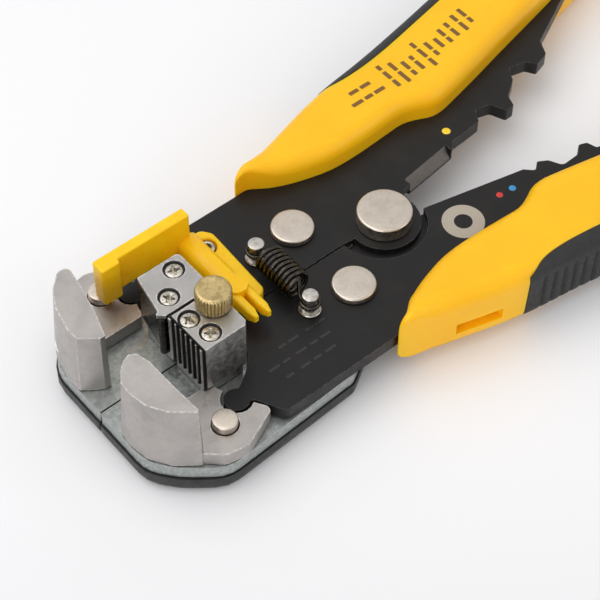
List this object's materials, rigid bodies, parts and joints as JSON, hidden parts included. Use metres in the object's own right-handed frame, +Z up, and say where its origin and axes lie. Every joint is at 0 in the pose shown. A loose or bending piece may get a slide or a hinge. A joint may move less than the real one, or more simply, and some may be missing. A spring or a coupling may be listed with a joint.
{
  "type": "self-adjusting wire stripper",
  "caption": "Self-adjusting wire stripper with crossed plate handles, moulded grips, die-cast head, toothed grip block, stripping blade, sliding wire stop, cutter and crimping nests.",
  "frame": {"origin": "bottom centre of the bounding box, on the plane the open tool lies on", "axes": "+X towards the nose along the tool's centre line, +Y to the right half (the one with the toothed grip block), +Z up from the covers to the blocks"},
  "size_m": [0.208, 0.1118, 0.0345],
  "materials": {
    "black_steel_plate": "black oxide on stamped steel, satin, worn bright on its cut edges",
    "yellow_plastic": "semi-gloss moulded yellow plastic",
    "black_rubber": "matte ribbed elastomer",
    "bright_steel": "nickel-plated steel",
    "cast_zinc": "satin-plated zinc die casting",
    "black_plastic": "black moulded cover",
    "dark_steel": "blackened hardened spring steel",
    "brass": "knurled brass, pale",
    "yellow_stop_plastic": "moulded yellow plastic"
  },
  "bodies": {
    "right_handle": {"right_handle_plate": "black_steel_plate", "right_grip": "yellow_plastic", "right_grip_pad": "black_rubber", "main_pivot_rivet": "bright_steel", "right_head_rivet": "bright_steel", "right_spring_pin": "bright_steel", "return_spring": "dark_steel"},
    "left_handle": {"left_handle_plate": "black_steel_plate", "left_grip": "yellow_plastic", "left_grip_pad": "black_rubber", "left_head_rivet": "bright_steel", "left_spring_pin": "bright_steel", "stop_guide": "yellow_stop_plastic", "guide_rivet": "bright_steel"},
    "right_head": {"right_head_base": "cast_zinc", "right_head_cover": "black_plastic", "right_cover_screw_1": "bright_steel", "right_cover_screw_2": "bright_steel", "right_cover_screw_3": "bright_steel", "grip_block": "cast_zinc", "grip_block_screw_1": "bright_steel", "grip_block_screw_2": "bright_steel", "right_jaw_pin": "bright_steel", "right_jaw_spring": "dark_steel"},
    "left_head": {"left_head_base": "cast_zinc", "left_head_cover": "black_plastic", "left_cover_screw_1": "bright_steel", "left_cover_screw_2": "bright_steel", "left_cover_screw_3": "bright_steel", "blade_block": "cast_zinc", "stripping_blade": "dark_steel", "blade_block_screw_1": "bright_steel", "blade_block_screw_2": "bright_steel", "left_jaw_pin": "bright_steel", "left_jaw_spring": "dark_steel"},
    "right_jaw": {"right_front_jaw": "cast_zinc"},
    "left_jaw": {"left_front_jaw": "cast_zinc"},
    "thumbscrew": {"adjusting_thumbscrew": "brass"},
    "stop_slider": {"wire_stop": "yellow_stop_plastic"}
  },
  "joints": [
    {"name": "handle_squeeze", "type": "hinge", "parent": "right_handle", "child": "left_handle", "pos_m": [0.0177, 0, 0.01165], "axis": [0, 0, -1], "range_deg": [0, 25], "stiffness_Nm_per_rad": 1, "springref_deg": -22.92, "deforming": ["return_spring"]},
    {"name": "right_head_swing", "type": "hinge", "parent": "right_handle", "child": "right_head", "pos_m": [0.0373, 0.0114, 0.01165], "axis": [0, 0, -1], "range_deg": [0, 5.1]},
    {"name": "left_head_swing", "type": "hinge", "parent": "left_handle", "child": "left_head", "pos_m": [0.0373, -0.0114, 0.01165], "axis": [0, 0, 1], "range_deg": [0, 5.1]},
    {"name": "right_jaw_close", "type": "hinge", "parent": "right_head", "child": "right_jaw", "pos_m": [0.0851, 0.0227, 0.01165], "axis": [0, 0, -1], "range_deg": [0, 27.9]},
    {"name": "left_jaw_close", "type": "hinge", "parent": "left_head", "child": "left_jaw", "pos_m": [0.0851, -0.0244, 0.01165], "axis": [0, 0, 1], "range_deg": [0, 27.9]},
    {"name": "thumbscrew_turn", "type": "hinge", "parent": "right_head", "child": "thumbscrew", "pos_m": [0.073, 0.0039, 0.03], "axis": [0, 0, 1], "range_deg": [-180, 180]},
    {"name": "wire_stop_slide", "type": "slide", "parent": "left_handle", "child": "stop_slider", "axis": [0, -1, 0], "range_m": [0, 0.008]}
  ],
  "couplings": [
    {"joint": "right_head_swing", "follows": "handle_squeeze", "ratio": 0.2038},
    {"joint": "left_head_swing", "follows": "handle_squeeze", "ratio": 0.2038},
    {"joint": "right_jaw_close", "follows": "handle_squeeze", "ratio": 1.1154},
    {"joint": "left_jaw_close", "follows": "handle_squeeze", "ratio": 1.1154}
  ]
}
